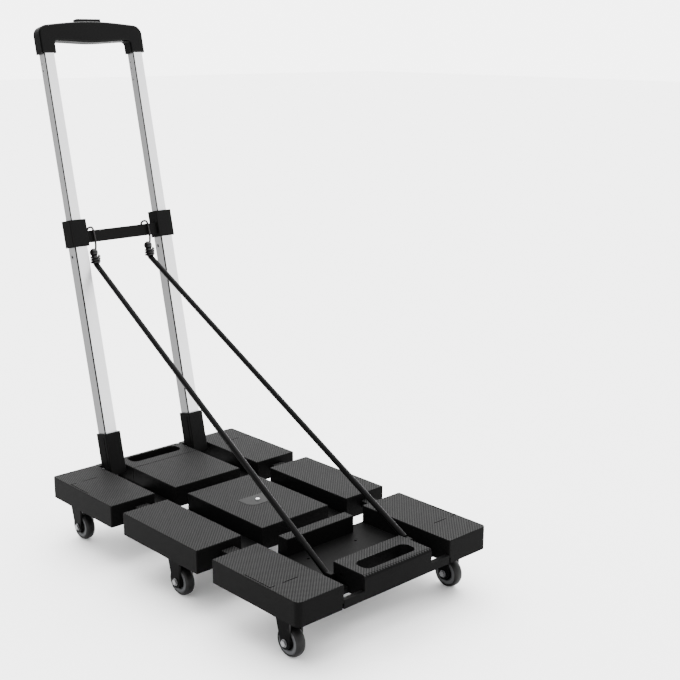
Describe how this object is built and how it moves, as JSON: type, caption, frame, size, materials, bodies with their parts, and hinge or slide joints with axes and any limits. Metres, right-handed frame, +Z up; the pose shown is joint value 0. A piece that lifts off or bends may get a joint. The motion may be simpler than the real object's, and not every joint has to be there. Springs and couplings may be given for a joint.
{
  "type": "folding luggage cart",
  "caption": "Folding luggage cart: a deck of sliding rows on swivel casters, a telescoping handle that folds flat over the deck, and hooked elastic cords to hold the load.",
  "frame": {"origin": "on the floor under the middle of the cart, halfway along its length and width", "axes": "+X across the deck to the right, +Y from the toe of the deck to the handle, +Z up"},
  "size_m": [0.3, 0.6121, 0.6723],
  "materials": {
    "deck_plastic": "moulded, fine diagonal texture on the top faces",
    "tyre": "matt moulded rubber",
    "wheel_plastic": "satin grey moulded",
    "fork_plastic": "satin moulded",
    "plated_steel": "bright zinc plated",
    "tube_aluminium": "satin, brushed along the tube",
    "bracket_plastic": "fine moulded grain",
    "grip_plastic": "satin black",
    "cord_braid": "braided sheath over rubber",
    "hook_wire": "black coated wire",
    "label_plate": "smooth"
  },
  "bodies": {
    "rear": {"rear_base": "deck_plastic", "rear_pad_left": "deck_plastic", "rear_pad_right": "deck_plastic", "rear_cover": "deck_plastic", "rear_carry_bar": "deck_plastic", "hinge_pins": "plated_steel", "rear_caster_plates": "plated_steel"},
    "middle": {"middle_base": "deck_plastic", "middle_pad_left": "deck_plastic", "middle_pad_right": "deck_plastic", "middle_cover": "deck_plastic", "centre_plate": "label_plate", "centre_screw": "plated_steel", "middle_tongues": "deck_plastic", "middle_caster_plates": "plated_steel"},
    "front": {"front_tray": "deck_plastic", "front_pad_left": "deck_plastic", "front_pad_right": "deck_plastic", "carry_handle": "deck_plastic", "front_tongues": "deck_plastic", "front_caster_plates": "plated_steel", "cord_anchors": "deck_plastic", "cord_tails": "cord_braid"},
    "handle_lower": {"handle_sockets": "bracket_plastic", "outer_tubes": "tube_aluminium", "tube_bracket": "bracket_plastic"},
    "handle_upper": {"inner_tubes": "tube_aluminium", "grip_front": "grip_plastic", "grip_back": "grip_plastic", "grip_screws": "plated_steel"},
    "release_button": {"release_button": "grip_plastic", "latch_rods": "plated_steel"},
    "bungee_left": {"cord_left": "cord_braid"},
    "bungee_left_end": {"hook_left": "hook_wire"},
    "bungee_right": {"cord_right": "cord_braid"},
    "bungee_right_end": {"hook_right": "hook_wire"},
    "front_left_yoke": {"front_left_fork": "fork_plastic", "front_left_axle": "plated_steel"},
    "front_left_wheel": {"front_left_hub": "wheel_plastic", "front_left_tyre": "tyre"},
    "front_right_yoke": {"front_right_fork": "fork_plastic", "front_right_axle": "plated_steel"},
    "front_right_wheel": {"front_right_hub": "wheel_plastic", "front_right_tyre": "tyre"},
    "middle_left_yoke": {"middle_left_fork": "fork_plastic", "middle_left_axle": "plated_steel"},
    "middle_left_wheel": {"middle_left_hub": "wheel_plastic", "middle_left_tyre": "tyre"},
    "middle_right_yoke": {"middle_right_fork": "fork_plastic", "middle_right_axle": "plated_steel"},
    "middle_right_wheel": {"middle_right_hub": "wheel_plastic", "middle_right_tyre": "tyre"},
    "rear_left_yoke": {"rear_left_fork": "fork_plastic", "rear_left_axle": "plated_steel"},
    "rear_left_wheel": {"rear_left_hub": "wheel_plastic", "rear_left_tyre": "tyre"},
    "rear_right_yoke": {"rear_right_fork": "fork_plastic", "rear_right_axle": "plated_steel"},
    "rear_right_wheel": {"rear_right_hub": "wheel_plastic", "rear_right_tyre": "tyre"}
  },
  "joints": [
    {"name": "middle_slide", "type": "slide", "parent": "rear", "child": "middle", "axis": [0, 1, 0], "range_m": [0, 0.0262]},
    {"name": "front_slide", "type": "slide", "parent": "middle", "child": "front", "axis": [0, 1, 0], "range_m": [0, 0.0285]},
    {"name": "handle_fold", "type": "hinge", "parent": "rear", "child": "handle_lower", "pos_m": [0, 0.17661, 0.079], "axis": [1, 0, 0], "range_deg": [0, 102.2], "deforming": ["cord_tails"]},
    {"name": "handle_slide", "type": "slide", "parent": "handle_lower", "child": "handle_upper", "axis": [0, -0.2113, -0.9774], "range_m": [0, 0.2299]},
    {"name": "button_press", "type": "slide", "parent": "handle_upper", "child": "release_button", "axis": [0, -0.2113, -0.9774], "range_m": [0, 0.003], "stiffness_N_per_m": 600, "springref_m": -0.004},
    {"name": "front_left_swivel", "type": "hinge", "parent": "front", "child": "front_left_yoke", "pos_m": [-0.1265, -0.25552, 0.045], "axis": [0, 0, 1], "continuous": true},
    {"name": "front_left_roll", "type": "hinge", "parent": "front_left_yoke", "child": "front_left_wheel", "pos_m": [-0.1265, -0.26752, 0.0185], "axis": [1, 0, 0], "continuous": true},
    {"name": "front_right_swivel", "type": "hinge", "parent": "front", "child": "front_right_yoke", "pos_m": [0.1265, -0.25552, 0.045], "axis": [0, 0, 1], "continuous": true},
    {"name": "front_right_roll", "type": "hinge", "parent": "front_right_yoke", "child": "front_right_wheel", "pos_m": [0.1265, -0.26752, 0.0185], "axis": [1, 0, 0], "continuous": true},
    {"name": "middle_left_swivel", "type": "hinge", "parent": "middle", "child": "middle_left_yoke", "pos_m": [-0.1265, -0.05502, 0.045], "axis": [0, 0, 1], "continuous": true},
    {"name": "middle_left_roll", "type": "hinge", "parent": "middle_left_yoke", "child": "middle_left_wheel", "pos_m": [-0.1265, -0.06702, 0.0185], "axis": [1, 0, 0], "continuous": true},
    {"name": "middle_right_swivel", "type": "hinge", "parent": "middle", "child": "middle_right_yoke", "pos_m": [0.1265, -0.05502, 0.045], "axis": [0, 0, 1], "continuous": true},
    {"name": "middle_right_roll", "type": "hinge", "parent": "middle_right_yoke", "child": "middle_right_wheel", "pos_m": [0.1265, -0.06702, 0.0185], "axis": [1, 0, 0], "continuous": true},
    {"name": "rear_left_swivel", "type": "hinge", "parent": "rear", "child": "rear_left_yoke", "pos_m": [-0.1265, 0.16748, 0.045], "axis": [0, 0, 1], "continuous": true},
    {"name": "rear_left_roll", "type": "hinge", "parent": "rear_left_yoke", "child": "rear_left_wheel", "pos_m": [-0.1265, 0.15548, 0.0185], "axis": [1, 0, 0], "continuous": true},
    {"name": "rear_right_swivel", "type": "hinge", "parent": "rear", "child": "rear_right_yoke", "pos_m": [0.1265, 0.16748, 0.045], "axis": [0, 0, 1], "continuous": true},
    {"name": "rear_right_roll", "type": "hinge", "parent": "rear_right_yoke", "child": "rear_right_wheel", "pos_m": [0.1265, 0.15548, 0.0185], "axis": [1, 0, 0], "continuous": true},
    {"name": "bungee_left_swing", "type": "hinge", "parent": "rear", "child": "bungee_left", "pos_m": [-0.057, -0.21402, 0.0885], "axis": [1, 0, 0], "range_deg": [-31.45, 0]},
    {"name": "bungee_left_stretch", "type": "slide", "parent": "bungee_left", "child": "bungee_left_end", "axis": [0.0116, 0.8532, 0.5214], "range_m": [-0.2441, 0], "deforming": ["cord_left"]},
    {"name": "bungee_right_swing", "type": "hinge", "parent": "rear", "child": "bungee_right", "pos_m": [0.057, -0.24477, 0.0885], "axis": [1, 0, 0], "range_deg": [-29.73, 0]},
    {"name": "bungee_right_stretch", "type": "slide", "parent": "bungee_right", "child": "bungee_right_end", "axis": [-0.04, 0.8679, 0.4952], "range_m": [-0.257, 0], "deforming": ["cord_right"]}
  ],
  "couplings": [
    {"joint": "bungee_left_swing", "follows": "handle_fold", "ratio": -0.30751},
    {"joint": "bungee_left_stretch", "follows": "handle_fold", "m_per_rad": -0.13674},
    {"joint": "bungee_right_swing", "follows": "handle_fold", "ratio": -0.29069},
    {"joint": "bungee_right_stretch", "follows": "handle_fold", "m_per_rad": -0.14397}
  ]
}
